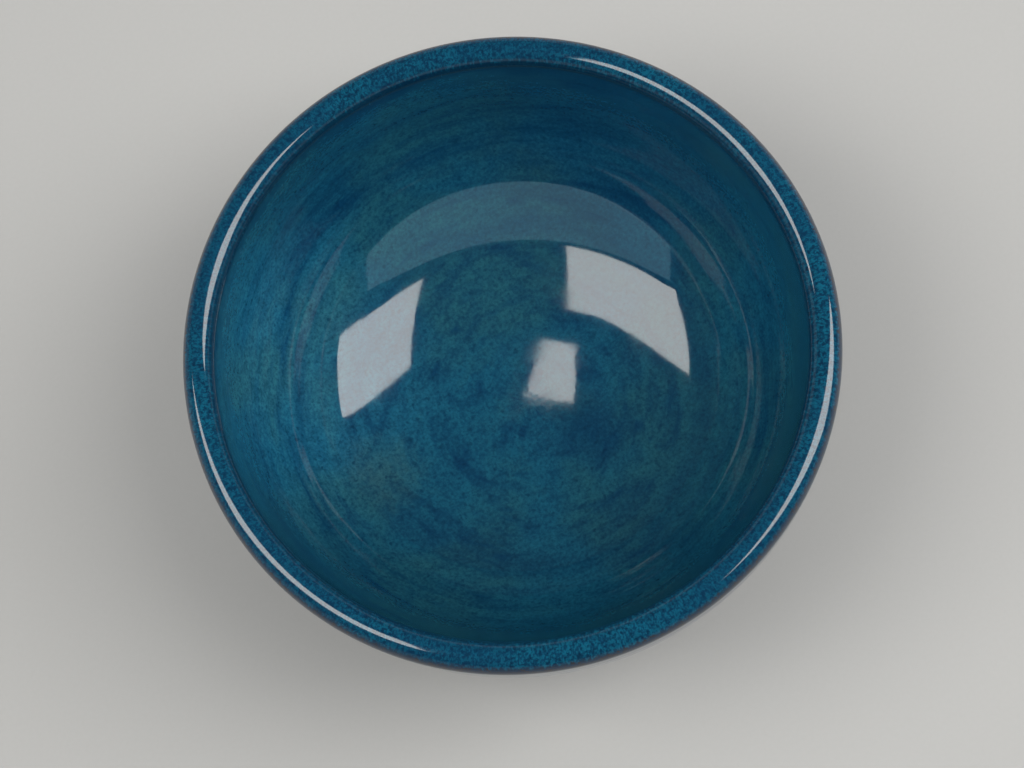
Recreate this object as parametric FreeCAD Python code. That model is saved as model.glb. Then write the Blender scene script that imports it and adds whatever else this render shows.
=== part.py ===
import FreeCAD, Part

import math
import os

# A glazed stoneware bowl, thrown on a wheel: a clay bowl on a turned foot ring, under three coats of glaze.
# It stands on the foot ring. The origin is the centre of the ring's resting face and +Z is up.
# Every piece is a closed profile in the XZ half plane, turned once round Z. Lengths are in millimetres.

# Over the glaze
RIM_DIAMETER = 150.0            # across the lip at its widest
BOWL_HEIGHT = 76.0              # from the resting face to the crest of the lip
LIP_WIDTH = 7.4                 # across the rounded lip

# The clay bowl. An exponent of 2 is an ellipse; more gives a fuller shoulder and a flatter middle.
INSIDE_EXPONENT = 2.8
OUTSIDE_EXPONENT = 2.35
FLOOR_THICKNESS = 7.0           # between the well and the recess, on the axis

# The foot ring
FOOT_DIAMETER = 78.0
FOOT_WIDTH = 6.5
FOOT_HEIGHT = 7.2               # up the outside of the ring, to where the wall starts
FOOT_DRAFT = 0.8                # the ring's outside leans in by this much towards the resting face
FOOT_ROUNDING = 1.2             # radius on both edges of the resting face
RECESS_DEPTH = 4.8              # of the recess, at the ring
RECESS_DOME = 1.2               # how much deeper the recess is on the axis

# The glaze
GLAZE = 0.55                    # coat thickness
POOL_DEPTH = 0.5                # extra depth where the liner pools, on the axis
POOL_RADIUS = 45.0
ROLL_DEPTH = 0.35               # extra thickness of the roll along the bottom edge of the outside coat
ROLL_LENGTH = 3.0               # distance up the wall in which most of the roll dies away
BARE_BAND = 9.0                 # bare clay outside the foot ring, measured out from the ring

CURVE_SPANS = 16                # spans in each long curve

rim_radius = RIM_DIAMETER / 2
lip_radius = LIP_WIDTH / 2
clay_lip_radius = lip_radius - GLAZE
lip_r = rim_radius - lip_radius
lip_z = BOWL_HEIGHT - lip_radius
foot_radius = FOOT_DIAMETER / 2
foot_inner_radius = foot_radius - FOOT_WIDTH
recess_top = RECESS_DEPTH + RECESS_DOME
floor_z = recess_top + FLOOR_THICKNESS


def at(r, z):
    return FreeCAD.Vector(r, 0, z)


def line(start, end):
    return Part.LineSegment(start, end).toShape()


def arc(start, middle, end):
    return Part.Arc(start, middle, end).toShape()


def curve(points, start_direction, end_direction):
    # a smooth curve through the points, with its direction given at both ends
    spline = Part.BSplineCurve()
    spline.interpolate(Points=points, InitialTangent=start_direction, FinalTangent=end_direction)
    return spline.toShape()


def turned(*edges):
    # the solid of revolution of a closed profile, given edge by edge
    face = Part.Face(Part.Wire(list(edges)))
    solid = face.revolve(FreeCAD.Vector(0, 0, 0), FreeCAD.Vector(0, 0, 1), 360)
    if solid.Volume < 0:
        solid.reverse()
    return solid


class ShellCurve:
    # One side of the clay shell: a superellipse quarter (r/width)^n + (drop/depth)^n = 1, where drop
    # is the distance below the lip's centre line. Its place is given by an angle, 0 on the axis
    # and a right angle at the lip, where it is vertical.

    def __init__(self, width, depth, exponent):
        self.width = width
        self.depth = depth
        self.exponent = exponent

    @classmethod
    def through(cls, width, radius, drop, exponent):
        # the curve that is at this drop below the lip's centre line at this radius
        depth = drop / (1 - (radius / width) ** exponent) ** (1 / exponent)
        return cls(width, depth, exponent)

    def radius(self, angle):
        return self.width * math.sin(angle) ** (2 / self.exponent)

    def drop(self, angle):
        return self.depth * max(math.cos(angle), 0.0) ** (2 / self.exponent)

    def angle_at_radius(self, radius):
        return math.asin((radius / self.width) ** (self.exponent / 2))

    def normal(self, angle):
        # the unit normal towards the inside of the bowl
        across = (self.radius(angle) / self.width) ** (self.exponent - 1) / self.width
        down = (self.drop(angle) / self.depth) ** (self.exponent - 1) / self.depth
        return FreeCAD.Vector(-across, 0, down).normalize()

    def direction(self, angle):
        # along the curve, out and up
        normal = self.normal(angle)
        return FreeCAD.Vector(normal.z, 0, -normal.x)

    def point(self, angle, offset=0.0):
        on_clay = at(self.radius(angle), lip_z - self.drop(angle))
        return on_clay + self.normal(angle) * offset

    def edge(self, start, end, coat=None):
        # the curve between two angles, or the face of a coat whose thickness is given by angle
        angles = [start + (end - start) * i / CURVE_SPANS for i in range(CURVE_SPANS + 1)]
        points = [self.point(angle, coat(angle) if coat else 0.0) for angle in angles]
        way = 1 if end > start else -1
        return curve(points, self.direction(start) * way, self.direction(end) * way)


AXIS = 0.0
LIP = math.pi / 2

inside = ShellCurve(lip_r - clay_lip_radius, lip_z - floor_z, INSIDE_EXPONENT)
outside = ShellCurve.through(lip_r + clay_lip_radius, foot_radius, lip_z - FOOT_HEIGHT, OUTSIDE_EXPONENT)
foot_angle = outside.angle_at_radius(foot_radius)
glaze_line_angle = outside.angle_at_radius(foot_radius + BARE_BAND)

ring_inner_corner = at(foot_inner_radius, RECESS_DEPTH)
ring_outer_corner = outside.point(foot_angle)


def lip_arc(radius, from_inside=True):
    # the rounded top of the lip, from the lip's centre line on one side to the other
    inner = at(lip_r - radius, lip_z)
    outer = at(lip_r + radius, lip_z)
    crest = at(lip_r, lip_z + radius)
    return arc(inner, crest, outer) if from_inside else arc(outer, crest, inner)


def clay_body():
    # wall, floor and lip; underneath, a domed recess and the seat of the foot ring
    axis_bottom = at(0, recess_top)
    dome_radius = (foot_inner_radius ** 2 + RECESS_DOME ** 2) / (2 * RECESS_DOME)
    half_r = foot_inner_radius / 2
    dome_middle = at(half_r, recess_top - dome_radius + math.sqrt(dome_radius ** 2 - half_r ** 2))
    return turned(
        arc(axis_bottom, dome_middle, ring_inner_corner),
        line(ring_inner_corner, ring_outer_corner),
        outside.edge(foot_angle, glaze_line_angle),
        outside.edge(glaze_line_angle, LIP),
        lip_arc(clay_lip_radius, from_inside=False),
        inside.edge(LIP, AXIS),
        line(inside.point(AXIS), axis_bottom),
    )


def foot_ring():
    # a ring turned from the same clay, with both edges of its resting face rounded over
    rounding = FOOT_ROUNDING
    diagonal = rounding * (1 - math.sqrt(0.5))
    inner = foot_inner_radius
    outer = foot_radius - FOOT_DRAFT
    inner_side = at(inner, rounding)
    inner_base = at(inner + rounding, 0)
    outer_base = at(outer - rounding, 0)
    outer_side = at(outer, rounding)
    return turned(
        line(ring_inner_corner, inner_side),
        arc(inner_side, at(inner + diagonal, diagonal), inner_base),
        line(inner_base, outer_base),
        arc(outer_base, at(outer - diagonal, diagonal), outer_side),
        line(outer_side, ring_outer_corner),
        line(ring_outer_corner, ring_inner_corner),
    )


def liner_coat(angle):
    # even on the wall, deeper where the glaze pools in the middle of the well
    reach = min(inside.radius(angle) / POOL_RADIUS, 1.0)
    return GLAZE + POOL_DEPTH * (1 - reach ** 4) ** 2


def outer_coat(angle):
    # even on the wall, thicker in the roll along its bottom edge
    climb = (outside.point(angle) - outside.point(glaze_line_angle)).Length
    return -(GLAZE + ROLL_DEPTH * math.exp(-(climb / ROLL_LENGTH) ** 2))


def inside_glaze():
    return turned(
        inside.edge(AXIS, LIP),
        line(inside.point(LIP), inside.point(LIP, GLAZE)),
        inside.edge(LIP, AXIS, liner_coat),
        line(inside.point(AXIS, liner_coat(AXIS)), inside.point(AXIS)),
    )


def rim_glaze():
    inner_clay = inside.point(LIP)
    outer_clay = outside.point(LIP)
    return turned(
        lip_arc(clay_lip_radius),
        line(outer_clay, at(rim_radius, lip_z)),
        lip_arc(lip_radius, from_inside=False),
        line(at(rim_radius - LIP_WIDTH, lip_z), inner_clay),
    )


def outside_glaze():
    bottom = glaze_line_angle
    return turned(
        outside.edge(bottom, LIP),
        line(outside.point(LIP), outside.point(LIP, -GLAZE)),
        outside.edge(LIP, bottom, outer_coat),
        line(outside.point(bottom, outer_coat(bottom)), outside.point(bottom)),
    )


pieces = {
    "clay_body": clay_body,
    "foot_ring": foot_ring,
    "inside_glaze": inside_glaze,
    "rim_glaze": rim_glaze,
    "outside_glaze": outside_glaze,
}

os.makedirs("parts", exist_ok=True)
for name, make in pieces.items():
    shape = make()
    shape.exportStep("parts/" + name + ".step")
    box = shape.optimalBoundingBox(False)
    print(f"{name}: {shape.Volume / 1000:.2f} cm3, valid {shape.isValid()}, "
          f"radius {box.XMax:.2f}, z {box.ZMin:.2f} to {box.ZMax:.2f}")
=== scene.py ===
import math

import bpy
import numpy as np
from mathutils import Matrix, Vector


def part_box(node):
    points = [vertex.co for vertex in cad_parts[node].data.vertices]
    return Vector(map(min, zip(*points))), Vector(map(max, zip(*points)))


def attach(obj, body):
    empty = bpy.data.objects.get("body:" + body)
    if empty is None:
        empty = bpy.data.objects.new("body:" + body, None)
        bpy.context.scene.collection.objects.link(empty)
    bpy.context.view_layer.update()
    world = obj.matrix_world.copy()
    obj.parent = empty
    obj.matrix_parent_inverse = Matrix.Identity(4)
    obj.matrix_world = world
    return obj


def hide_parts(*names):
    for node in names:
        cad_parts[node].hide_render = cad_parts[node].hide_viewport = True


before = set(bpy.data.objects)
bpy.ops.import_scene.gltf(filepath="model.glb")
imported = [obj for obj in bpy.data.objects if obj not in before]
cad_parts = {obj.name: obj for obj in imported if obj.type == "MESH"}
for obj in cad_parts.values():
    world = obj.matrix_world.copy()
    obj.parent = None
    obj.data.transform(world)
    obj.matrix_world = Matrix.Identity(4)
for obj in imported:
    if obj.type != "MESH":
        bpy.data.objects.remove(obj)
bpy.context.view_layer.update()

# A wheel-thrown stoneware bowl under a glossy blue-green glaze, on a bare clay foot.
# Lengths are metres on the frame's axes; settings in the dictionaries are in the unit their name gives.

mm = 0.001
print("frame read:", ", ".join(sorted(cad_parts)))


# sizes, read from the frame
def nodeSize(node):
    # outer radius is the box's high x, and its low and high z
    low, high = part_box(node)
    return {"radius": high.x, "bottom": low.z, "top": high.z}


rimBox, shellBox, ringBox = nodeSize("rim_glaze"), nodeSize("clay_body"), nodeSize("foot_ring")
linerBox = nodeSize("inside_glaze")
coatDepth = rimBox["radius"] - shellBox["radius"]
lipZ = rimBox["bottom"]
lipRound = rimBox["top"] - lipZ            # radius of the lip's rounded top
lipR = rimBox["radius"] - lipRound         # radius of the lip's centre line

shape = {
    "insideExponent": 2.8,
    "outsideExponent": 2.35,
    "poolDepthMm": 0.5,       # the liner gathers in the well
    "poolRadiusMm": 45.0,
    "bareBandMm": 9.0,        # bare clay outside the foot ring
}


def shellCurve(angle, width, depth, exponent):
    # superellipse quarter (r/width)^n + (drop/depth)^n = 1 below the lip's centre line,
    # angle 0 on the axis and pi/2 at the lip; returns r, z and the unit normal into the bowl
    r = width * np.sin(angle) ** (2 / exponent)
    drop = depth * np.clip(np.cos(angle), 0, None) ** (2 / exponent)
    across = (r / width) ** (exponent - 1) / width
    down = (drop / depth) ** (exponent - 1) / depth
    size = np.hypot(across, down)
    return r, lipZ - drop, -across / size, down / size


# the outside curve runs through the foot ring's top edge: depth = drop / (1 - (r/width)^n)^(1/n)
footTopZ = ringBox["top"]
outsideDepth = (lipZ - footTopZ) / (
    1 - (ringBox["radius"] / shellBox["radius"]) ** shape["outsideExponent"]
) ** (1 / shape["outsideExponent"])


def insideWall(angle, offset=0.0):
    # clay's inside curve, moved by offset along its normal: point + normal * offset
    r, z, nr, nz = shellCurve(angle, linerBox["radius"], lipZ - linerBox["bottom"], shape["insideExponent"])
    return r + nr * offset, z + nz * offset


def outsideWall(angle, offset=0.0):
    # clay's outside curve, moved the same way; a negative offset is out of the clay
    r, z, nr, nz = shellCurve(angle, shellBox["radius"], outsideDepth, shape["outsideExponent"])
    return r + nr * offset, z + nz * offset


def outsideAngle(radius):
    # the angle where the outside curve has this radius: asin((r / width)^(n / 2))
    return math.asin((radius / shellBox["radius"]) ** (shape["outsideExponent"] / 2))


def linerDepth(angle):
    # even on the wall, deeper in the middle of the well: d = coat + pool (1 - (r/R)^4)^2
    r = insideWall(angle)[0]
    reach = np.clip(r / (shape["poolRadiusMm"] * mm), 0, 1)
    return coatDepth + shape["poolDepthMm"] * mm * (1 - reach ** 4) ** 2


def lipArc(radius, start, end, steps):
    # circle about the lip's centre line; 0 is the crest, positive turns towards the inside
    bend = np.linspace(start, end, steps)
    return lipR - radius * np.sin(bend), lipZ + radius * np.cos(bend)


glazeLine = outsideAngle(ringBox["radius"] + shape["bareBandMm"] * mm)


curveSteps = {
    "outside": 1500,
    "lip": 400,
    "inside": 3000,
    "even": 6000,             # the whole profile, once its steps are even
    "startShare": 0.9,        # it starts a little nearer the foot than the glaze line does
}


def evenCurve(r, z, steps=curveSteps["even"]):
    # the same curve in even steps of its own length; returns length from its start, r and z
    length = np.concatenate([[0], np.cumsum(np.hypot(np.diff(r), np.diff(z)))])
    even = np.linspace(0, length[-1], steps)
    return even, np.interp(even, length, r), np.interp(even, length, z)


def skinCurve(offset, pool):
    # foot side of the outside coat, up, over the lip and down to the middle of the well,
    # at a distance offset above the clay; "along" is 0 at the crest and grows inwards
    upAngles = np.linspace(glazeLine * curveSteps["startShare"], math.pi / 2, curveSteps["outside"])
    downAngles = np.linspace(math.pi / 2, 0, curveSteps["inside"])
    outR, outZ = outsideWall(upAngles, -offset)
    topR, topZ = lipArc(lipRound - coatDepth + offset, -math.pi / 2, math.pi / 2, curveSteps["lip"])
    inR, inZ = insideWall(downAngles, linerDepth(downAngles) if pool else offset)
    r = np.concatenate([outR, topR[1:-1], inR])
    z = np.concatenate([outZ, topZ[1:-1], inZ])
    length, r, z = evenCurve(r, z)
    return length - length[z.argmax()], r, z


skin = skinCurve(coatDepth, True)
skinEnd = skin[0][-1]
rising, falling = slice(curveSteps["even"] // 3), slice(curveSteps["even"] // 2, None)   # outside, inside
glazeLineAlong = np.interp(outsideWall(glazeLine, -coatDepth)[1], skin[2][rising], skin[0][rising])
lipEdgeAlong = lipRound * math.pi / 2      # distance from the crest to the lip's centre line

hand = {
    "outOfRoundMm": 0.42,     # how far the rim is from a true circle
    "longAxisDeg": -39.0,     # where it is widest
    "threeLobeMm": 0.12,
    "threeLobePhase": 1.1,
    "rimWaveMm": 0.22,        # the rim's level rises and falls
    "rimWavePhases": (2.3, 0.4),
    "ringPitchMm": 4.6,       # throwing rings inside, one to each turn of the wheel
    "ringDepthMm": 0.011,
    "ringFadeMm": (40.0, 62.0),       # none nearer the middle than the first, full past the second
    "insideStartMm": (5.0, 16.0),     # and likewise from the lip's crest inwards
    "softDepthMm": 0.045,     # slow unevenness of the wall
    "softFadeMm": (6.0, 30.0),        # from the middle
    "outsideRingMm": 0.03,
    "outsidePitchMm": 6.5,
    "outsideSoftMm": 0.08,
    "outsideStartMm": (4.0, 12.0),    # from the crest outwards
    "dimpleDepthMm": 0.4,     # a dip in the middle of the well, so that it mirrors cleanly
    "dimpleRadiusMm": 28.0,
    "edgeLevelMm": 0.9,       # glaze line: its mean level above the CAD line, and its wander
    "edgeWanderMm": 0.8,
    "toeMm": 0.9,             # how far up its rounded bottom edge reaches
    "rollMm": 0.35,           # and how thick and long the roll above it is
    "rollLengthMm": 2.6,
}


def slowWaves(turn, along, seed, lobes, waves, count=7):
    # sum of count waves cos(m turn + k along + phase) / count^0.5, with m whole and up to lobes, so
    # that they close
    draw = np.random.default_rng(seed)
    total = 0
    for _ in range(count):
        m = draw.integers(1, lobes + 1)
        k = draw.uniform(-waves, waves)
        total = total + np.cos(m * turn + k * along / mm + draw.uniform(0, 2 * math.pi))
    return total / math.sqrt(count)


def wobble(points):
    # what the hands did to the whole pot: r (1 + lobes(turn) (z/top)^2), z + waves(turn) (z/top)^4
    x, y, z = points[..., 0], points[..., 1], points[..., 2]
    turn = np.arctan2(y, x)
    high = np.clip(z / rimBox["top"], 0, 1)
    lobes = hand["outOfRoundMm"] * np.cos(2 * (turn - math.radians(hand["longAxisDeg"])))
    lobes = lobes + hand["threeLobeMm"] * np.cos(3 * turn + hand["threeLobePhase"])
    swell = 1 + lobes * mm / rimBox["radius"] * high ** 2
    first, second = hand["rimWavePhases"]
    lift = hand["rimWaveMm"] * mm * (np.cos(turn - first) + 0.5 * np.cos(2 * turn + second)) * high ** 4
    return np.stack([x * swell, y * swell, z + lift], axis=-1)


def smoothStep(low, high, value):
    # 0 below low, 1 above high, and t^2 (3 - 2 t) between them
    t = np.clip((value - low) / (high - low), 0, 1)
    return t * t * (3 - 2 * t)


def edgeAlong(turn):
    # the glaze line wanders a little up and down the wall: line + level + wander * waves(turn)
    waves = slowWaves(turn, 0 * turn, 31, 9, 0.0, 9)
    return glazeLineAlong + mm * (hand["edgeLevelMm"] + hand["edgeWanderMm"] * waves)


def fadeMm(name, value):
    # smooth step between the two distances that the name holds
    low, high = hand[name]
    return smoothStep(low * mm, high * mm, value)


def wallRelief(along, turn):
    # rings and unevenness, as a height above the smooth profile
    inwards = fadeMm("insideStartMm", along)
    toCentre = np.clip(skinEnd - along, 0, None)
    # the wheel turns once for each ring: sin(2 pi along / pitch - turn + slow drift)
    drift = 1.3 * slowWaves(turn, along, 5, 2, 0.05)
    pitch = hand["ringPitchMm"] * mm
    rings = np.sin(2 * math.pi * along / pitch - turn + drift)
    rings = rings + 0.4 * np.sin(4 * math.pi * along / pitch + 2 * drift)
    strength = 0.55 + 0.45 * np.tanh(1.5 * slowWaves(turn, along, 8, 3, 0.06))
    fade = fadeMm("ringFadeMm", toCentre)
    inside = inwards * fade * hand["ringDepthMm"] * mm * rings * strength
    soft = inwards * hand["softDepthMm"] * mm * slowWaves(turn, along, 12, 3, 0.09)
    soft = soft * fadeMm("softFadeMm", toCentre)
    # shallow dip in the well: -depth * (1 - (r / radius)^2)^2
    reach = np.clip(toCentre / (hand["dimpleRadiusMm"] * mm), 0, 1)
    dimple = -hand["dimpleDepthMm"] * mm * (1 - reach ** 2) ** 2
    outRings = np.sin(2 * math.pi * along / (hand["outsidePitchMm"] * mm) + turn + drift)
    outSoft = hand["outsideSoftMm"] * slowWaves(turn, along, 21, 3, 0.1)
    outside = fadeMm("outsideStartMm", -along) * mm * (hand["outsideRingMm"] * outRings + outSoft)
    return inside + soft + dimple + outside


def skinPoint(along):
    # the smooth profile's r and z, and its normal (dz, -dr) / size, which points out of the glaze
    step = 0.2 * mm
    r, z = np.interp(along, skin[0], skin[1]), np.interp(along, skin[0], skin[2])
    before, after = np.clip(along - step, skin[0][0], None), np.clip(along + step, None, skinEnd)
    dr = np.interp(after, skin[0], skin[1]) - np.interp(before, skin[0], skin[1])
    dz = np.interp(after, skin[0], skin[2]) - np.interp(before, skin[0], skin[2])
    size = np.hypot(dr, dz)
    return r, z, dz / size, -dr / size


def glazePoint(along, turn):
    # profile point + normal * relief, turned by the angle, then the hand's wobble
    r, z, nr, nz = skinPoint(along)
    climb = np.clip((along - edgeAlong(turn)) / mm, 0, None)
    toe = np.sqrt(np.clip(1 - (1 - np.clip(climb / hand["toeMm"], 0, 1)) ** 2, 0, 1))
    roll = hand["rollMm"] * np.exp(-(climb / hand["rollLengthMm"]) ** 2)
    height = wallRelief(along, turn) - coatDepth * (1 - toe) + roll * mm * toe
    r, z = r + nr * height, z + nz * height
    return wobble(np.stack([r * np.cos(turn), r * np.sin(turn), z], axis=-1))


def outwardNormals(surface, along, turn):
    # cross product of the surface's two slopes, each taken over a small step either way
    step, twist = 0.1 * mm, 0.002
    alongSlope = surface(along + step, turn) - surface(along - step, turn)
    turnSlope = surface(along, turn + twist) - surface(along, turn - twist)
    normal = np.cross(turnSlope, alongSlope)
    return normal / np.maximum(np.linalg.norm(normal, axis=-1, keepdims=True), 1e-15)


def turnedMesh(name, points, fields, normals, poles):
    # points is rows x columns x 3, each row once round the axis. With poles, the first and last rows
    # shrink to a point; without, the last row joins the first. fields are numbers kept on the points
    # for the materials, and normals holds zeros where the mesh's own will do
    rows, columns = points.shape[:2]
    if poles:
        index = 1 + np.arange((rows - 2) * columns).reshape(rows - 2, columns)
        keep = np.concatenate([[0], np.arange(columns, (rows - 1) * columns), [(rows - 1) * columns]])
        upper, lower = index[:-1], index[1:]
    else:
        index = np.arange(rows * columns).reshape(rows, columns)
        keep = index.reshape(-1)
        upper, lower = index, np.roll(index, -1, axis=0)
    quads = np.stack([upper, np.roll(upper, -1, axis=1), np.roll(lower, -1, axis=1), lower], axis=-1)
    loops, sizes = quads.reshape(-1), np.full(upper.size, 4)
    if poles:
        first, last = index[0], index[-1]
        start = np.stack([np.zeros_like(first), np.roll(first, -1), first], axis=-1)
        end = np.stack([last, np.roll(last, -1), np.full_like(last, keep.size - 1)], axis=-1)
        loops = np.concatenate([loops, start.reshape(-1), end.reshape(-1)])
        sizes = np.concatenate([sizes, np.full(2 * columns, 3)])
    mesh = bpy.data.meshes.new(name)
    mesh.vertices.add(keep.size)
    mesh.vertices.foreach_set("co", points.reshape(-1, 3)[keep].astype(np.float32).ravel())
    mesh.loops.add(loops.size)
    mesh.loops.foreach_set("vertex_index", loops.astype(np.int32))
    mesh.polygons.add(sizes.size)
    mesh.polygons.foreach_set("loop_start", (np.cumsum(sizes) - sizes).astype(np.int32))
    mesh.polygons.foreach_set("use_smooth", np.ones(sizes.size, bool))
    for label, field in fields.items():
        attribute = mesh.attributes.new(label, "FLOAT", "POINT")
        attribute.data.foreach_set("value", field.reshape(-1)[keep].astype(np.float32))
    mesh.update(calc_edges=True)
    own = np.zeros(keep.size * 3, np.float32)
    mesh.vertex_normals.foreach_get("vector", own)
    own, given = own.reshape(-1, 3), normals.reshape(-1, 3)[keep]
    chosen = np.where(np.abs(given).sum(axis=1, keepdims=True) > 0, given, own)
    mesh.normals_split_custom_set_from_vertices(chosen.tolist())
    piece = bpy.data.objects.new(name, mesh)
    bpy.context.scene.collection.objects.link(piece)
    print(f"{name}: {keep.size} points, {int((sizes - 2).sum())} triangles")
    return piece


def addPiece(piece, node, material):
    # shown in place of its CAD node, with the material given
    piece.data.materials.append(material)
    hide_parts(node)
    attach(piece, "root")


def turnsOf(rows, columns):
    # the angle 2 pi i / columns, the same in every row
    turn = np.linspace(0, 2 * math.pi, columns, endpoint=False)
    return np.broadcast_to(turn, (rows, columns))


# the glaze is three skins cut from one surface, so nothing shows where they meet
glaze = {
    "outside": {"rows": 95, "columns": 720, "crowding": 1.6},
    "rim": {"rows": 60, "columns": 720, "crowding": 1.0},
    "inside": {"rows": 168, "columns": 540, "crowding": 1.0},
    "hiddenRows": 9,
    "sinkMm": 0.05,           # how far the underside bites into the clay
}


def underGlaze(along, turn):
    # the clay's surface: profile point - normal * (coat + pool), then the hand's wobble
    r, z, nr, nz = skinPoint(along)
    reach = np.clip(r / (shape["poolRadiusMm"] * mm), 0, 1)
    pool = np.where(along > 0, shape["poolDepthMm"] * mm * (1 - reach ** 4) ** 2, 0)
    depth = coatDepth + pool + glaze["sinkMm"] * mm
    r, z = np.clip(r - nr * depth, 0, None), z - nz * depth
    return wobble(np.stack([r * np.cos(turn), r * np.sin(turn), z], axis=-1))


def glazeSkin(name, start, end, cut):
    # the face from start to end along the profile, and the underside back again;
    # start and end are numbers, or arrays with one value for each step round
    turn, backTurn = turnsOf(cut["rows"], cut["columns"]), turnsOf(glaze["hiddenRows"], cut["columns"])
    share = np.linspace(0, 1, cut["rows"])[:, None] ** cut["crowding"]
    along = start * (1 - share) + end * share + 0 * turn
    backShare = np.linspace(0, 1, glaze["hiddenRows"])[:, None]
    backAlong = along[-1] * (1 - backShare) + along[0] * backShare
    face, back = glazePoint(along, turn), underGlaze(backAlong, backTurn)
    normals = outwardNormals(glazePoint, np.clip(along, None, skinEnd - 0.3 * mm), turn)
    poles = bool(np.all(along[-1] >= skinEnd))
    if poles:
        parts = [(back, backAlong, np.zeros_like(back)), (face, along, normals)]
    else:
        parts = [(face, along, normals), (back, backAlong, np.zeros_like(back))]
    points, allAlong, allNormals = [np.concatenate(group) for group in zip(*parts)]
    fields = {"along": allAlong, "rise": allAlong - edgeOf(cut)}
    return turnedMesh(name, points, fields, allNormals, poles)


def edgeOf(cut):
    # where the glaze line runs, one value for each step round
    return edgeAlong(turnsOf(1, cut["columns"]))


outsideGlaze = glazeSkin("outsideGlaze", edgeOf(glaze["outside"]), -lipEdgeAlong, glaze["outside"])
rimGlaze = glazeSkin("rimGlaze", -lipEdgeAlong, lipEdgeAlong, glaze["rim"])
insideGlaze = glazeSkin("insideGlaze", lipEdgeAlong, skinEnd, glaze["inside"])


# bare clay: the body under the glaze, and the foot it stands on
clay = {
    "footWidthMm": 6.5,
    "footLeanMm": 0.8,        # the ring narrows towards the resting face
    "footRoundMm": 1.2,
    "recessDomeMm": 1.2,
    "groovePitchMm": 1.25,    # turning marks left by the loop tool
    "grooveDepthMm": 0.045,
    "chatterDepthMm": 0.018,
    "chatterCount": 46,       # chatter marks round the pot
    "bodyRows": {"recess": 96, "seat": 3, "band": 56, "wall": 22, "lip": 8, "inside": 12},
    "bodyColumns": 480,
    "ringRows": 96,
    "ringColumns": 600,
    "runUnderMm": 5.0,        # how far the band's close rows run on under the glaze
    "nicks": 9,               # small chips on the ring's outer edge
    "nickSizeMm": (0.5, 1.3),
    "nickDepthMm": (0.12, 0.3),
}

ringInner = ringBox["radius"] - clay["footWidthMm"] * mm
recessZ = shellBox["bottom"]
bareWall = outsideWall(np.linspace(outsideAngle(ringBox["radius"]), glazeLine, 200))
edgeBelow = -float(np.hypot(np.diff(bareWall[0]), np.diff(bareWall[1])).sum())   # from glaze to foot ring


def turningMarks(distance, turn, seed):
    # loop-tool spiral sin(2 pi d / pitch - turn) with a sharper crest, and chatter across it
    pitch = clay["groovePitchMm"] * mm
    drift = 1.6 * slowWaves(turn, distance, seed, 3, 0.25)
    spiral = np.sin(2 * math.pi * distance / pitch - turn + drift)
    strength = 0.6 + 0.4 * slowWaves(turn, distance, seed + 1, 4, 0.4)
    groove = clay["grooveDepthMm"] * (spiral + 0.45 * spiral ** 3) * strength
    chatter = clay["chatterDepthMm"] * np.cos(clay["chatterCount"] * turn + 5 * distance / mm + drift)
    return mm * (groove + chatter)


def turnedOut(r, z, height, turn, marks):
    # moves a profile along its own normal by marks * height, then turns it and adds the wobble
    dr, dz = np.gradient(r), np.gradient(z)
    size = np.maximum(np.hypot(dr, dz), 1e-12)
    nr, nz = (dz / size)[:, None], (-dr / size)[:, None]
    r, z = r[:, None] + nr * marks * height[:, None], z[:, None] + nz * marks * height[:, None]
    return wobble(np.stack([r * np.cos(turn), r * np.sin(turn), z + 0 * turn], axis=-1))


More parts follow.
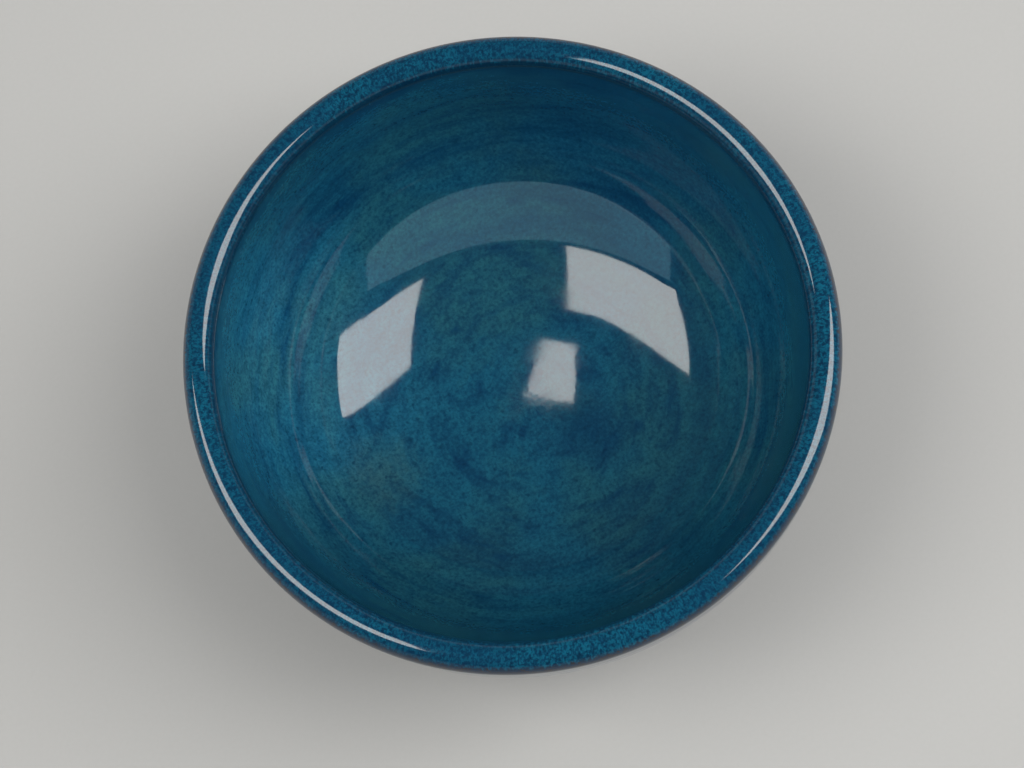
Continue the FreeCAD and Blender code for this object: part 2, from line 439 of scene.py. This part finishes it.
def clayBodyMesh():
    # one profile turned round the axis: recess dome z = top - bend + (bend^2 - r^2)^0.5, seat, bare
    # wall, wall under the glaze, lip and inside; only the recess and the bare wall take tool marks
    rows, count = clay["bodyRows"], clay["bodyColumns"]
    dome = clay["recessDomeMm"] * mm
    bend = (ringInner ** 2 + dome ** 2) / (2 * dome)          # radius of the recess's shallow dome
    recessR = np.linspace(0, ringInner, rows["recess"])
    seat = np.linspace(0, 1, rows["seat"] + 2)[1:-1]
    footAngle = outsideAngle(ringBox["radius"])
    bandTop = outsideAngle(ringBox["radius"] + (shape["bareBandMm"] + clay["runUnderMm"]) * mm)
    bandR, bandZ = outsideWall(np.linspace(footAngle, bandTop, rows["band"]))
    wallR, wallZ = outsideWall(np.linspace(bandTop, math.pi / 2, rows["wall"] + 1)[1:])
    topR, topZ = lipArc(lipRound - coatDepth, -math.pi / 2, math.pi / 2, rows["lip"] + 2)
    inR, inZ = insideWall(np.linspace(math.pi / 2, 0, rows["inside"] + 1)[1:])
    recess = (recessR, recessZ + dome - bend + np.sqrt(bend ** 2 - recessR ** 2))
    seatLine = (ringInner + seat * (ringBox["radius"] - ringInner), recessZ + seat * (footTopZ - recessZ))
    parts = [recess, seatLine, (bandR, bandZ), (wallR, wallZ), (topR[1:-1], topZ[1:-1]), (inR, inZ)]
    r, z = np.concatenate([part[0] for part in parts]), np.concatenate([part[1] for part in parts])
    turn = turnsOf(len(r), count)
    distance = np.concatenate([[0], np.cumsum(np.hypot(np.diff(r), np.diff(z)))])
    # the marks fade out at the recess's middle and edge, and towards the foot ring
    shown = np.zeros(len(r))
    shown[:rows["recess"]] = smoothStep(1 * mm, 4 * mm, recessR) * smoothStep(0, 2 * mm, ringInner - recessR)
    band = slice(rows["recess"] + rows["seat"], rows["recess"] + rows["seat"] + rows["band"])
    shown[band] = smoothStep(0, 1.5 * mm, bandR - ringBox["radius"])
    points = turnedOut(r, z, shown, turn, turningMarks(distance[:, None], turn, 41))
    # "rise" is the distance above the glaze's edge, so bare clay is below zero
    rise = distance - distance[band][0] + edgeBelow
    rise = rise[:, None] - edgeAlong(turn) + glazeLineAlong
    rise = np.where(np.arange(len(r))[:, None] < rows["recess"] + rows["seat"], edgeBelow, rise)
    return turnedMesh("clayBody", points, {"rise": rise}, np.zeros_like(points), True)


def footRingMesh():
    # inner side, base and outer side with rounded corners, and the hidden seat under the body
    lean, bend, outer = clay["footLeanMm"] * mm, clay["footRoundMm"] * mm, ringBox["radius"]
    quarter = np.linspace(0, math.pi / 2, 16)
    r = np.concatenate([[ringInner], ringInner + bend * (1 - np.cos(quarter)),
                        outer - lean - bend * (1 - np.sin(quarter)), [outer]])
    z = np.concatenate([[recessZ], bend * (1 - np.sin(quarter)), bend * (1 - np.cos(quarter)), [footTopZ]])
    length, r, z = evenCurve(r, z, clay["ringRows"])
    seat = np.linspace(1, 0, 5)[1:-1]
    r = np.concatenate([r, ringInner + seat * (outer - ringInner)])
    z = np.concatenate([z, recessZ + seat * (footTopZ - recessZ)])
    turn = turnsOf(len(r), clay["ringColumns"])
    outside = np.arange(len(r)) > clay["ringRows"] * 0.45
    shown = smoothStep(0.3 * mm, 1.5 * mm, z) * smoothStep(0, 0.8 * mm, footTopZ - z) * outside
    length = np.pad(length, (0, 3), mode="edge")
    points = turnedOut(r, z, shown, turn, turningMarks(length[:, None], turn, 61))
    # nicks in the outer corner: a hollow of depth exp(-(distance / size)^2), pushed up and in
    draw = np.random.default_rng(17)
    for _ in range(clay["nicks"]):
        where, size = draw.uniform(0, 2 * math.pi), draw.uniform(*clay["nickSizeMm"]) * mm
        depth = draw.uniform(*clay["nickDepthMm"]) * mm
        corner = np.array([(outer - lean) * math.cos(where), (outer - lean) * math.sin(where), 0.2 * mm])
        hollow = depth * np.exp(-(np.linalg.norm(points - corner, axis=-1) / size) ** 2)
        inward = np.array([-math.cos(where), -math.sin(where), 1.0]) / math.sqrt(2)
        points = points + hollow[..., None] * inward
    rise = edgeBelow + (z[:, None] - footTopZ) + 0 * turn
    return turnedMesh("footRing", points, {"rise": rise}, np.zeros_like(points), False)


clayBody = clayBodyMesh()
footRing = footRingMesh()


def join(tree, sockets, values):
    # links a socket, or sets a plain number, colour or vector
    for socket, value in zip(sockets, values):
        if isinstance(value, bpy.types.NodeSocket):
            tree.links.new(value, socket)
        elif value is not None:
            socket.default_value = (*value, 1.0) if socket.type == "RGBA" else value


def calculate(tree, operation, *values):
    # one Math node
    node = tree.nodes.new("ShaderNodeMath")
    node.operation = operation
    join(tree, node.inputs, values)
    return node.outputs[0]


def vectors(tree, operation, *values):
    # one Vector Math node
    node = tree.nodes.new("ShaderNodeVectorMath")
    node.operation = operation
    join(tree, node.inputs, values)
    return node.outputs["Vector"]


def ramp(tree, value, low, high, toLow=0.0, toHigh=1.0):
    # smooth step of value from low to high
    node = tree.nodes.new("ShaderNodeMapRange")
    node.interpolation_type = "SMOOTHSTEP"
    join(tree, node.inputs, (value, low, high, toLow, toHigh))
    return node.outputs["Result"]


def mixColour(tree, share, first, second, blend="MIX"):
    # first (1 - share) + second share, or their product with blend MULTIPLY
    node = tree.nodes.new("ShaderNodeMix")
    node.data_type, node.blend_type = "RGBA", blend
    join(tree, (node.inputs[0], node.inputs[6], node.inputs[7]), (share, first, second))
    return node.outputs[2]


def noise(tree, vector, size=1.0, detail=2.0, rough=0.5, distort=0.0):
    # size is the pattern's grain, in the vector's own unit
    node = tree.nodes.new("ShaderNodeTexNoise")
    join(tree, [node.inputs[name] for name in ("Vector", "Scale", "Detail", "Roughness", "Distortion")],
         (vector, 1 / size, detail, rough, distort))
    return node.outputs["Fac"]


def shifted(tree, vector, step):
    # the same space moved along, so that two noises differ
    return vectors(tree, "ADD", vector, (step, 0.7 * step, 0.4 * step))


def newGroup(name, inputs, outputs):
    # a node group with a socket for each value, its inner sockets for reading and for writing
    group = bpy.data.node_groups.new(name, "ShaderNodeTree")
    for label, value in inputs.items():
        kind = "NodeSocketColor" if isinstance(value, tuple) else "NodeSocketFloat"
        socket = group.interface.new_socket(name=label, in_out="INPUT", socket_type=kind)
        socket.default_value = (*value, 1.0) if isinstance(value, tuple) else value
    for label in outputs:
        kind = "NodeSocketColor" if label == "Color" else "NodeSocketFloat"
        group.interface.new_socket(name=label, in_out="OUTPUT", socket_type=kind)
    return group, group.nodes.new("NodeGroupInput").outputs, group.nodes.new("NodeGroupOutput").inputs


def placeGroup(tree, group, values):
    # the group as one node, its sockets set to the values
    node = tree.nodes.new("ShaderNodeGroup")
    node.node_tree = group
    join(tree, [node.inputs[name] for name in values], values.values())
    return node.outputs


def fieldMm(tree, name):
    # a number kept on the points, in millimetres
    attribute = tree.nodes.new("ShaderNodeAttribute")
    attribute.attribute_name = name
    return calculate(tree, "MULTIPLY", attribute.outputs["Fac"], 1000.0)


def placeMm(tree):
    # Object coordinates, in millimetres
    return vectors(tree, "MULTIPLY", tree.nodes.new("ShaderNodeTexCoord").outputs["Object"], (1000.0,) * 3)


def distanceTo(tree, place, centre):
    # how far each point is from one centre
    node = tree.nodes.new("ShaderNodeVectorMath")
    node.operation = "DISTANCE"
    join(tree, node.inputs[:2], (place, centre))
    return node.outputs["Value"]


def stretched(tree, place, along, around, lengthMm):
    # (x, y) / r * around and along / length, so that a pattern is drawn round the pot or up its wall
    direction = vectors(tree, "NORMALIZE", vectors(tree, "MULTIPLY", place, (1.0, 1.0, 0.0)))
    lift = tree.nodes.new("ShaderNodeCombineXYZ")
    join(tree, [lift.inputs["Z"]], [calculate(tree, "DIVIDE", along, lengthMm)])
    return vectors(tree, "ADD", vectors(tree, "MULTIPLY", direction, (around, around, 0.0)), lift.outputs[0])


def newMaterial(name, values):
    # constants go on the shader's own sockets
    material = bpy.data.materials.new(name)
    material.use_nodes = True
    shader = material.node_tree.nodes["Principled BSDF"]
    for label, value in values.items():
        shader.inputs[label].default_value = value
    return material, material.node_tree, shader


def wireUp(tree, shader, made, bumpMm):
    # a group's colour, roughness and height into the shader, the height through a bump
    bump = tree.nodes.new("ShaderNodeBump")
    bump.inputs["Strength"].default_value = 1.0
    bump.inputs["Distance"].default_value = bumpMm * mm
    join(tree, (bump.inputs["Height"], shader.inputs["Base Color"]), (made["Height"], made["Color"]))
    join(tree, (shader.inputs["Roughness"],), (made["Roughness"],))
    join(tree, (shader.inputs["Normal"],), (bump.outputs["Normal"],))


# one glaze for the whole pot: colours are linear, lengths are millimetres along the profile from the
# crest, and each patch fades out from its centre over two distances, with an edge that wanders
ringShare = 0.6               # the dark ring's radius, as a share of the rim's
glazeLook = {
    "Teal": (0.0075, 0.080, 0.142),
    "Deep": (0.0026, 0.034, 0.086),
    "Green": (0.0125, 0.082, 0.120),
    "Lip": (0.0046, 0.102, 0.180),
    "Navy": (0.0016, 0.018, 0.052),
    "Slate": (0.007, 0.021, 0.052),
    "Iron": (0.036, 0.022, 0.017),
    "Straw": (0.040, 0.100, 0.080),
    "Lip Outer": -2.6,
    "Lip Inner": 4.3,
    "Navy End": 9.0,
    "Ring Place": float(np.interp(-ringShare * rimBox["radius"], -skin[1][falling], skin[0][falling])) * 1000,
}
# straw and pond are the glaze's own colour; the two side patches are painted light and painted shade on
# opposite walls
glazePatches = {
    "straw": {"centreMm": (-40.5, -5.0, 20.0), "wanderMm": 10.0, "fadeMm": (5.0, 19.0), "share": 0.30},
    "paintedLightSide": {"centreMm": (-57.0, 24.0, 40.0), "wanderMm": 16.0, "fadeMm": (16.0, 62.0), "share": 1.0},
    "pond": {"centreMm": (11.0, -12.0, 13.0), "wanderMm": 12.0, "fadeMm": (6.0, 20.0), "share": 0.75},
    "paintedShadeSide": {"centreMm": (40.0, 48.0, 48.0), "wanderMm": 16.0, "fadeMm": (26.0, 66.0), "share": 1.0},
}
glazeTints = {
    # painted light: a paler copy of the glaze on the lit wall
    "paintedLightSide": (2.1, 1.75, 1.70),
    # painted shade: a darker copy of the glaze on the other wall
    "paintedShadeSide": (0.85, 0.70, 0.74),
    "lightSpeckle": (1.22, 1.24, 1.16),
}


def patchShare(tree, place, pattern, name):
    # smooth step down from the patch's share to 0, over its distance + wander * pattern
    patch = glazePatches[name]
    wander = calculate(tree, "MULTIPLY", pattern, patch["wanderMm"])
    reach = calculate(tree, "ADD", distanceTo(tree, place, patch["centreMm"]), wander)
    return ramp(tree, reach, *patch["fadeMm"], patch["share"], 0.0)


def buildGlazeGroup():
    # a stack of layers: each one mixes a colour over the last by a share between 0 and 1
    tree, given, out = newGroup("potGlaze", glazeLook, ["Color", "Roughness", "Height"])
    place, along, rise = placeMm(tree), fieldMm(tree, "along"), fieldMm(tree, "rise")
    streaks = noise(tree, stretched(tree, place, along, 95.0, 3.6), 1.0, 3.0, 0.65)      # drawn down the wall
    fineStreaks = noise(tree, stretched(tree, place, along, 150.0, 0.8), 1.0, 3.0, 0.65)
    smears = noise(tree, stretched(tree, place, along, 1.7, 7.5), 1.0, 4.0, 0.55, 0.5)   # drawn round it
    fineSmears = noise(tree, stretched(tree, place, along, 4.5, 1.9), 1.0, 3.0, 0.55, 0.3)
    cloud = noise(tree, place, 30.0, 2.0, 0.5, 0.3)
    mottle = noise(tree, place, 3.2, 3.0, 0.6)
    speckle = noise(tree, place, 0.85, 3.0, 0.65)
    dots = noise(tree, shifted(tree, place, 40.0), 1.5, 1.0, 0.4)
    # body of the glaze: teal, greener in clouds, deeper blue in smears left by the brush and the pour
    colour = mixColour(tree, ramp(tree, cloud, 0.40, 0.66), given["Teal"], given["Green"])
    fineShare = ramp(tree, fineSmears, 0.45, 0.70, 0.0, 0.38)
    deepShare = calculate(tree, "ADD", ramp(tree, smears, 0.46, 0.70, 0.0, 0.60), fineShare)
    colour = mixColour(tree, deepShare, colour, given["Deep"])
    greenShare = ramp(tree, smears, 0.28, 0.44, 0.45, 0.0)
    colour = mixColour(tree, greenShare, colour, given["Green"])
    # a faint darker ring where the wall meets the well, with a straw smear on one side of it
    fromRing = calculate(tree, "ABSOLUTE", calculate(tree, "SUBTRACT", along, given["Ring Place"]))
    wander = calculate(tree, "MULTIPLY", smears, 9.0)
    ringShare = ramp(tree, calculate(tree, "ADD", fromRing, wander), 3.0, 9.0, 0.42, 0.0)
    colour = mixColour(tree, ringShare, colour, given["Deep"])
    colour = mixColour(tree, patchShare(tree, place, mottle, "straw"), colour, given["Straw"])
    # painted light on one side of the wall, as a paler copy of the glaze; deep blue gathered in the well;
    # painted shade on the other side, as a darker copy of the glaze
    paler = mixColour(tree, 1.0, colour, glazeTints["paintedLightSide"], "MULTIPLY")
    colour = mixColour(tree, patchShare(tree, place, smears, "paintedLightSide"), colour, paler)
    colour = mixColour(tree, patchShare(tree, place, mottle, "pond"), colour, given["Deep"])
    # painted shade on the other side of the wall
    darker = mixColour(tree, 1.0, colour, glazeTints["paintedShadeSide"], "MULTIPLY")
    colour = mixColour(tree, patchShare(tree, place, smears, "paintedShadeSide"), colour, darker)
    # speckle, light and dark, and scattered dark dots
    colour = mixColour(tree, ramp(tree, mottle, 0.38, 0.66, 0.0, 0.30), colour, given["Deep"])
    colour = mixColour(tree, ramp(tree, speckle, 0.46, 0.72, 0.0, 0.42), colour, given["Navy"])
    light = mixColour(tree, 1.0, colour, glazeTints["lightSpeckle"], "MULTIPLY")
    colour = mixColour(tree, ramp(tree, speckle, 0.34, 0.52, 1.0, 0.0), colour, light)
    colour = mixColour(tree, ramp(tree, dots, 0.62, 0.76, 0.0, 0.4), colour, given["Navy"])
    # down the outside: runs of deeper blue
    outside = ramp(tree, along, -9.0, -3.0, 1.0, 0.0)
    runShare = calculate(tree, "MULTIPLY", outside, ramp(tree, streaks, 0.42, 0.66, 0.0, 0.65))
    colour = mixColour(tree, runShare, colour, given["Deep"])
    # just inside the lip the glaze has run thin and dark, in ragged streaks
    ragged = calculate(tree, "ADD", along, calculate(tree, "MULTIPLY", streaks, 7.0))
    raggedEnd = calculate(tree, "ADD", given["Navy End"], 3.5)
    navyShare = ramp(tree, ragged, calculate(tree, "SUBTRACT", raggedEnd, 4.5), raggedEnd, 0.72, 0.0)
    navyShare = calculate(tree, "MULTIPLY", navyShare, ramp(tree, along, 0.0, 4.0))
    colour = mixColour(tree, navyShare, colour, given["Navy"])
    # the lip: bright turquoise, finely streaked down the wall
    lipColour = mixColour(tree, ramp(tree, fineStreaks, 0.44, 0.60, 0.0, 0.85), given["Lip"], given["Deep"])
    lipColour = mixColour(tree, ramp(tree, streaks, 0.42, 0.74, 0.0, 0.45), lipColour, given["Navy"])
    lipColour = mixColour(tree, ramp(tree, speckle, 0.48, 0.62, 0.0, 0.8), lipColour, given["Navy"])
    lipColour = mixColour(tree, ramp(tree, speckle, 0.40, 0.28, 0.0, 0.5), lipColour, given["Green"])
    lipColour = mixColour(tree, ramp(tree, cloud, 0.42, 0.62, 0.0, 0.35), lipColour, given["Deep"])
    edgeWander = calculate(tree, "MULTIPLY", calculate(tree, "SUBTRACT", streaks, 0.5), 6.0)
    innerSide = calculate(tree, "ADD", along, edgeWander)
    innerStart = calculate(tree, "SUBTRACT", given["Lip Inner"], 1.6)
    lipShare = ramp(tree, innerSide, innerStart, given["Lip Inner"], 1.0, 0.0)
    outerSide = calculate(tree, "SUBTRACT", along, calculate(tree, "MULTIPLY", edgeWander, 0.5))
    lipStart = calculate(tree, "SUBTRACT", given["Lip Outer"], 0.8)
    lipShare = calculate(tree, "MULTIPLY", lipShare, ramp(tree, outerSide, lipStart, given["Lip Outer"]))
    colour = mixColour(tree, lipShare, colour, lipColour)
    # the outer side of the lip: slate, with iron breaking through
    slateEnd = calculate(tree, "SUBTRACT", given["Lip Outer"], 5.5)
    slateShare = ramp(tree, outerSide, slateEnd, calculate(tree, "ADD", slateEnd, 3.5))
    belowLip = ramp(tree, outerSide, lipStart, given["Lip Outer"], 0.85, 0.0)
    slateShare = calculate(tree, "MULTIPLY", slateShare, belowLip)
    colour = mixColour(tree, slateShare, colour, given["Slate"])
    ironSpecks = ramp(tree, noise(tree, shifted(tree, place, 15.0), 1.3, 3.0, 0.6), 0.50, 0.62)
    ironShare = calculate(tree, "MULTIPLY", ironSpecks, calculate(tree, "MULTIPLY", slateShare, 0.75))
    outsideIron = calculate(tree, "MULTIPLY", outside, ramp(tree, dots, 0.60, 0.68, 0.0, 0.5))
    colour = mixColour(tree, calculate(tree, "MAXIMUM", ironShare, outsideIron), colour, given["Iron"])
    # the glaze's bottom edge: a thick dark roll, brown where it thins on to the clay
    aboveEdge = calculate(tree, "ADD", rise, calculate(tree, "MULTIPLY", mottle, 3.0))
    roll = ramp(tree, aboveEdge, 2.0, 6.0, 0.6, 0.0)
    roll = calculate(tree, "MULTIPLY", roll, outside)
    colour = mixColour(tree, roll, colour, given["Navy"])
    thin = calculate(tree, "MULTIPLY", ramp(tree, rise, 0.15, 1.1, 0.9, 0.0), outside)
    colour = mixColour(tree, thin, colour, given["Iron"])
    rough = ramp(tree, noise(tree, place, 9.0, 3.0, 0.6), 0.3, 0.7, 0.035, 0.075)
    rough = calculate(tree, "ADD", rough, calculate(tree, "MULTIPLY", thin, 0.25))
    peel = noise(tree, place, 4.5, 2.0, 0.5)
    grain = noise(tree, place, 1.1, 1.0, 0.5)
    height = calculate(tree, "ADD", peel, calculate(tree, "MULTIPLY", grain, 0.07))
    join(tree, [out[name] for name in ("Color", "Roughness", "Height")], (colour, rough, height))
    return tree


potGlaze = buildGlazeGroup()
glazeFinish = {"IOR": 1.60}
glazeBumpMm = 0.006


def glazeMaterial(name):
    # the pot's glaze on one skin
    material, tree, shader = newMaterial(name, glazeFinish)
    wireUp(tree, shader, placeGroup(tree, potGlaze, glazeLook), glazeBumpMm)
    return material


clayLook = {
    "Clay": (0.36, 0.245, 0.160),
    "Toast": (0.215, 0.105, 0.052),
    "Grog": (0.60, 0.50, 0.38),
    "Iron": (0.060, 0.036, 0.024),
    "Toast Reach": 3.2,
    "Wear": 0.0,
}
clayTints = {
    "dark": (0.74, 0.68, 0.62),
    "worn": (1.28, 1.30, 1.32),
}


def buildClayGroup():
    # layered as the glaze is; "rise" is below zero on bare clay
    tree, given, out = newGroup("bareClay", clayLook, ["Color", "Roughness", "Height"])
    place, rise = placeMm(tree), fieldMm(tree, "rise")
    cloud = noise(tree, place, 17.0, 3.0, 0.55, 0.4)
    grain = noise(tree, place, 0.45, 3.0, 0.7)
    sand = noise(tree, shifted(tree, place, 30.0), 0.9, 2.0, 0.5)
    specks = noise(tree, shifted(tree, place, 60.0), 1.2, 1.0, 0.4)
    scored = noise(tree, stretched(tree, place, rise, 3.0, 0.45), 1.0, 3.0, 0.6)     # the tool's fine lines
    dark = mixColour(tree, 1.0, given["Clay"], clayTints["dark"], "MULTIPLY")
    colour = mixColour(tree, ramp(tree, cloud, 0.35, 0.68), given["Clay"], dark)
    # toasted next to the glaze, where the fire drew iron to the surface
    reach = calculate(tree, "ADD", calculate(tree, "ABSOLUTE", rise), calculate(tree, "MULTIPLY", cloud, 2.5))
    toastShare = ramp(tree, reach, 0.4, given["Toast Reach"], 0.85, 0.0)
    colour = mixColour(tree, toastShare, colour, given["Toast"])
    colour = mixColour(tree, ramp(tree, scored, 0.45, 0.70, 0.0, 0.30), colour, dark)
    colour = mixColour(tree, ramp(tree, grain, 0.35, 0.70, 0.0, 0.35), colour, dark)
    colour = mixColour(tree, ramp(tree, sand, 0.62, 0.70, 0.0, 0.65), colour, given["Grog"])
    colour = mixColour(tree, ramp(tree, specks, 0.62, 0.69, 0.0, 0.85), colour, given["Iron"])
    # a rubbed foot is smoother and paler on its resting face
    height = tree.nodes.new("ShaderNodeSeparateXYZ")
    join(tree, height.inputs, (place,))
    worn = calculate(tree, "MULTIPLY", ramp(tree, height.outputs["Z"], 0.1, 0.9, 1.0, 0.0), given["Wear"])
    worn = calculate(tree, "MULTIPLY", worn, ramp(tree, cloud, 0.25, 0.6, 0.5, 1.0))
    colour = mixColour(tree, worn, colour, mixColour(tree, 1.0, colour, clayTints["worn"], "MULTIPLY"))
    rough = ramp(tree, grain, 0.3, 0.7, 0.74, 0.88)
    rough = calculate(tree, "SUBTRACT", rough, calculate(tree, "MULTIPLY", worn, 0.22))
    relief = calculate(tree, "ADD", grain, calculate(tree, "MULTIPLY", sand, 0.8))
    relief = calculate(tree, "ADD", relief, calculate(tree, "MULTIPLY", scored, 0.5))
    join(tree, [out[name] for name in ("Color", "Roughness", "Height")], (colour, rough, relief))
    return tree


bareClay = buildClayGroup()
clayBumpMm = 0.09


def clayMaterial(name, changes):
    # the same clay, with what differs on this piece
    material, tree, shader = newMaterial(name, {"IOR": 1.45})
    wireUp(tree, shader, placeGroup(tree, bareClay, {**clayLook, **changes}), clayBumpMm)
    return material


addPiece(clayBody, "clay_body", clayMaterial("bareClayBody", {}))
addPiece(footRing, "foot_ring", clayMaterial("bareClayFoot", {"Wear": 1.0}))
addPiece(outsideGlaze, "outside_glaze", glazeMaterial("blueGlazeOutside"))
addPiece(rimGlaze, "rim_glaze", glazeMaterial("blueGlazeRim"))
addPiece(insideGlaze, "inside_glaze", glazeMaterial("blueGlazeInside"))
print("pieces placed on the body")


# the studio
studio = {
    "floorHalf": 9.0,
    "floorColour": (0.438, 0.438, 0.438),
    "floorCloud": (0.42, 0.42, 0.42),
    "floorFibre": (0.39, 0.39, 0.39),
    "floorGlowReach": (0.7, 4.0),
    "roomGrey": 0.045,
    "bandColour": (0.24, 0.27, 0.28),
    "bandHeight": 0.30,
    "bandTilt": 0.10,
    "bandEdge": 0.04,
    "backdropGrey": 0.50,
    "aimHeight": 0.05,        # what the panels face
}


def floorPlane():
    # a square of pale paper under the pot, a little cloudy
    half = studio["floorHalf"]
    mesh = bpy.data.meshes.new("paleFloor")
    corners = [(-half, -half, 0), (half, -half, 0), (half, half, 0), (-half, half, 0)]
    mesh.from_pydata(corners, [], [(0, 1, 2, 3)])
    floor = bpy.data.objects.new("paleFloor", mesh)
    bpy.context.scene.collection.objects.link(floor)
    finish = {"IOR": 1.40, "Roughness": 0.85, "Emission Strength": 1.0}
    material, tree, shader = newMaterial("palePaper", finish)
    place = tree.nodes.new("ShaderNodeTexCoord").outputs["Object"]
    cloud, fibre = noise(tree, place, 0.35, 2.0), noise(tree, place, 0.0012, 2.0)
    cloudShare = ramp(tree, cloud, 0.3, 0.7, 0.0, 0.25)
    grey = mixColour(tree, cloudShare, studio["floorColour"], studio["floorCloud"])
    grey = mixColour(tree, ramp(tree, fibre, 0.3, 0.7, 0.0, 0.12), grey, studio["floorFibre"])
    # far off, the paper is lit up to the backdrop's own grey, so that there is no dark horizon
    far = ramp(tree, distanceTo(tree, place, (0.0, 0.0, 0.0)), *studio["floorGlowReach"])
    glow = mixColour(tree, far, (0.0, 0.0, 0.0), (studio["backdropGrey"],) * 3)
    join(tree, (shader.inputs["Base Color"], shader.inputs["Emission Color"]), (grey, glow))
    mesh.materials.append(material)
    return floor


paperFloor = floorPlane()

# panels hang round the pot: azimuth and elevation of the middle, turn in its own plane, width and
# height, distance, and brightness in watts per square metre and steradian. One with "lights" falls
# on those pieces only, and one that isn't mirrored shows in no reflection
windowTint = (1.0, 0.98, 0.92)
panels = {
    "rightPanel": {"azimuth": 341, "elevation": 54, "turn": -74, "size": (0.64, 0.41), "distance": 0.9,
                   "glow": 5.7, "tint": windowTint},
    "leftPanel": {"azimuth": 172, "elevation": 60, "turn": 63, "size": (0.57, 0.39), "distance": 0.9,
                  "glow": 5.7, "tint": windowTint},
    "smallPanel": {"azimuth": 107, "elevation": 77.8, "turn": -48, "size": (0.066, 0.112), "distance": 0.9,
                   "glow": 5.7, "tint": windowTint, "lights": [insideGlaze]},
    "frontCard": {"azimuth": 247, "elevation": 32, "turn": 0, "size": (1.54, 0.80), "distance": 0.62,
                  "glow": 1.0, "tint": (0.48, 0.86, 1.0), "lights": [insideGlaze]},
    "leftFill": {"azimuth": 185, "elevation": 24, "turn": 0, "size": (2.4, 1.2), "distance": 2.2,
                 "glow": 0.6, "mirrored": False},
    "rightFill": {"azimuth": 350, "elevation": 30, "turn": 0, "size": (2.4, 1.2), "distance": 2.2,
                  "glow": 1.8, "mirrored": False},
    "topFill": {"azimuth": 90, "elevation": 86, "turn": 0, "size": (2.2, 2.2), "distance": 1.9,
                "glow": 0.25, "mirrored": False},
    "floorFill": {"azimuth": 20, "elevation": 80, "turn": 0, "size": (2.8, 2.8), "distance": 1.9,
                  "glow": 0.55, "mirrored": False, "lights": [paperFloor]},
}


def hangPanel(name, setting):
    # middle = away * distance + aim, where away = (cos e cos a, cos e sin a, sin e), facing back
    azimuth, elevation = math.radians(setting["azimuth"]), math.radians(setting["elevation"])
    turn = math.radians(setting["turn"])
    level = math.cos(elevation)
    away = Vector((level * math.cos(azimuth), level * math.sin(azimuth), math.sin(elevation)))
    across = Vector((0, 0, 1)).cross(away).normalized()
    up = away.cross(across)
    side = math.cos(turn) * across + math.sin(turn) * up
    lift = -math.sin(turn) * across + math.cos(turn) * up
    light = bpy.data.lights.new(name, "AREA")
    light.shape = "RECTANGLE"
    light.size, light.size_y = setting["size"]
    light.color = setting.get("tint", (1.0, 1.0, 1.0))
    light.energy = setting["glow"] * math.pi * light.size * light.size_y
    panel = bpy.data.objects.new(name, light)
    middle = away * setting["distance"] + Vector((0, 0, studio["aimHeight"]))
    panel.matrix_world = Matrix.Translation(middle) @ Matrix((side, lift, away)).transposed().to_4x4()
    panel.visible_camera = False
    panel.visible_glossy = setting.get("mirrored", True)
    if "lights" in setting:
        only = bpy.data.collections.new(name + "Pieces")
        for piece in setting["lights"]:
            only.objects.link(piece)
        panel.light_linking.receiver_collection = only
    bpy.context.scene.collection.objects.link(panel)


def studioWorld():
    # a dim room with a pale band low down all round, where z + tilt x < height; the camera
    # itself sees a plain pale backdrop
    world = bpy.data.worlds.new("dimRoom")
    world.use_nodes = True
    tree = world.node_tree
    background = tree.nodes["Background"]
    parts = tree.nodes.new("ShaderNodeSeparateXYZ")
    join(tree, parts.inputs, (tree.nodes.new("ShaderNodeTexCoord").outputs["Generated"],))
    tilt = calculate(tree, "MULTIPLY", parts.outputs["X"], studio["bandTilt"])
    level = calculate(tree, "ADD", parts.outputs["Z"], tilt)
    above = ramp(tree, level, studio["bandHeight"], studio["bandHeight"] + studio["bandEdge"])
    room = mixColour(tree, above, studio["bandColour"], (studio["roomGrey"],) * 3)
    seen = tree.nodes.new("ShaderNodeLightPath").outputs["Is Camera Ray"]
    join(tree, (background.inputs["Color"],), (mixColour(tree, seen, room, (studio["backdropGrey"],) * 3),))
    bpy.context.scene.world = world


studioWorld()
for panelName, panelSetting in panels.items():
    hangPanel(panelName, panelSetting)

view = {
    "lensMm": 70.31,
    "sensorMm": 36.0,
    "elevationDeg": 75.0,
    "distanceInRims": 6.074,      # from the middle of the rim, in rim radii
    "rollDeg": -22.0,
    "tiltDeg": -1.12,
    "panDeg": -0.126,
}


def addCamera():
    # eye = rim's middle + back * distance, looking along -back, then turned about its own axes
    camera = bpy.data.cameras.new("view")
    camera.lens, camera.sensor_width = view["lensMm"], view["sensorMm"]
    eye = bpy.data.objects.new("view", camera)
    elevation = math.radians(view["elevationDeg"])
    back = Vector((0, -math.cos(elevation), math.sin(elevation)))
    middle = Vector((0, 0, lipZ))
    turns = [Matrix.Rotation(math.radians(view[key]), 4, axis) for key, axis in
             (("rollDeg", "Z"), ("tiltDeg", "X"), ("panDeg", "Y"))]
    aim = back.to_track_quat("Z", "Y").to_matrix().to_4x4() @ turns[0] @ turns[1] @ turns[2]
    eye.matrix_world = Matrix.Translation(middle + back * view["distanceInRims"] * rimBox["radius"]) @ aim
    bpy.context.scene.collection.objects.link(eye)
    bpy.context.scene.camera = eye


addCamera()
bpy.context.scene.view_settings.view_transform = "Standard"
print("studio and camera set")
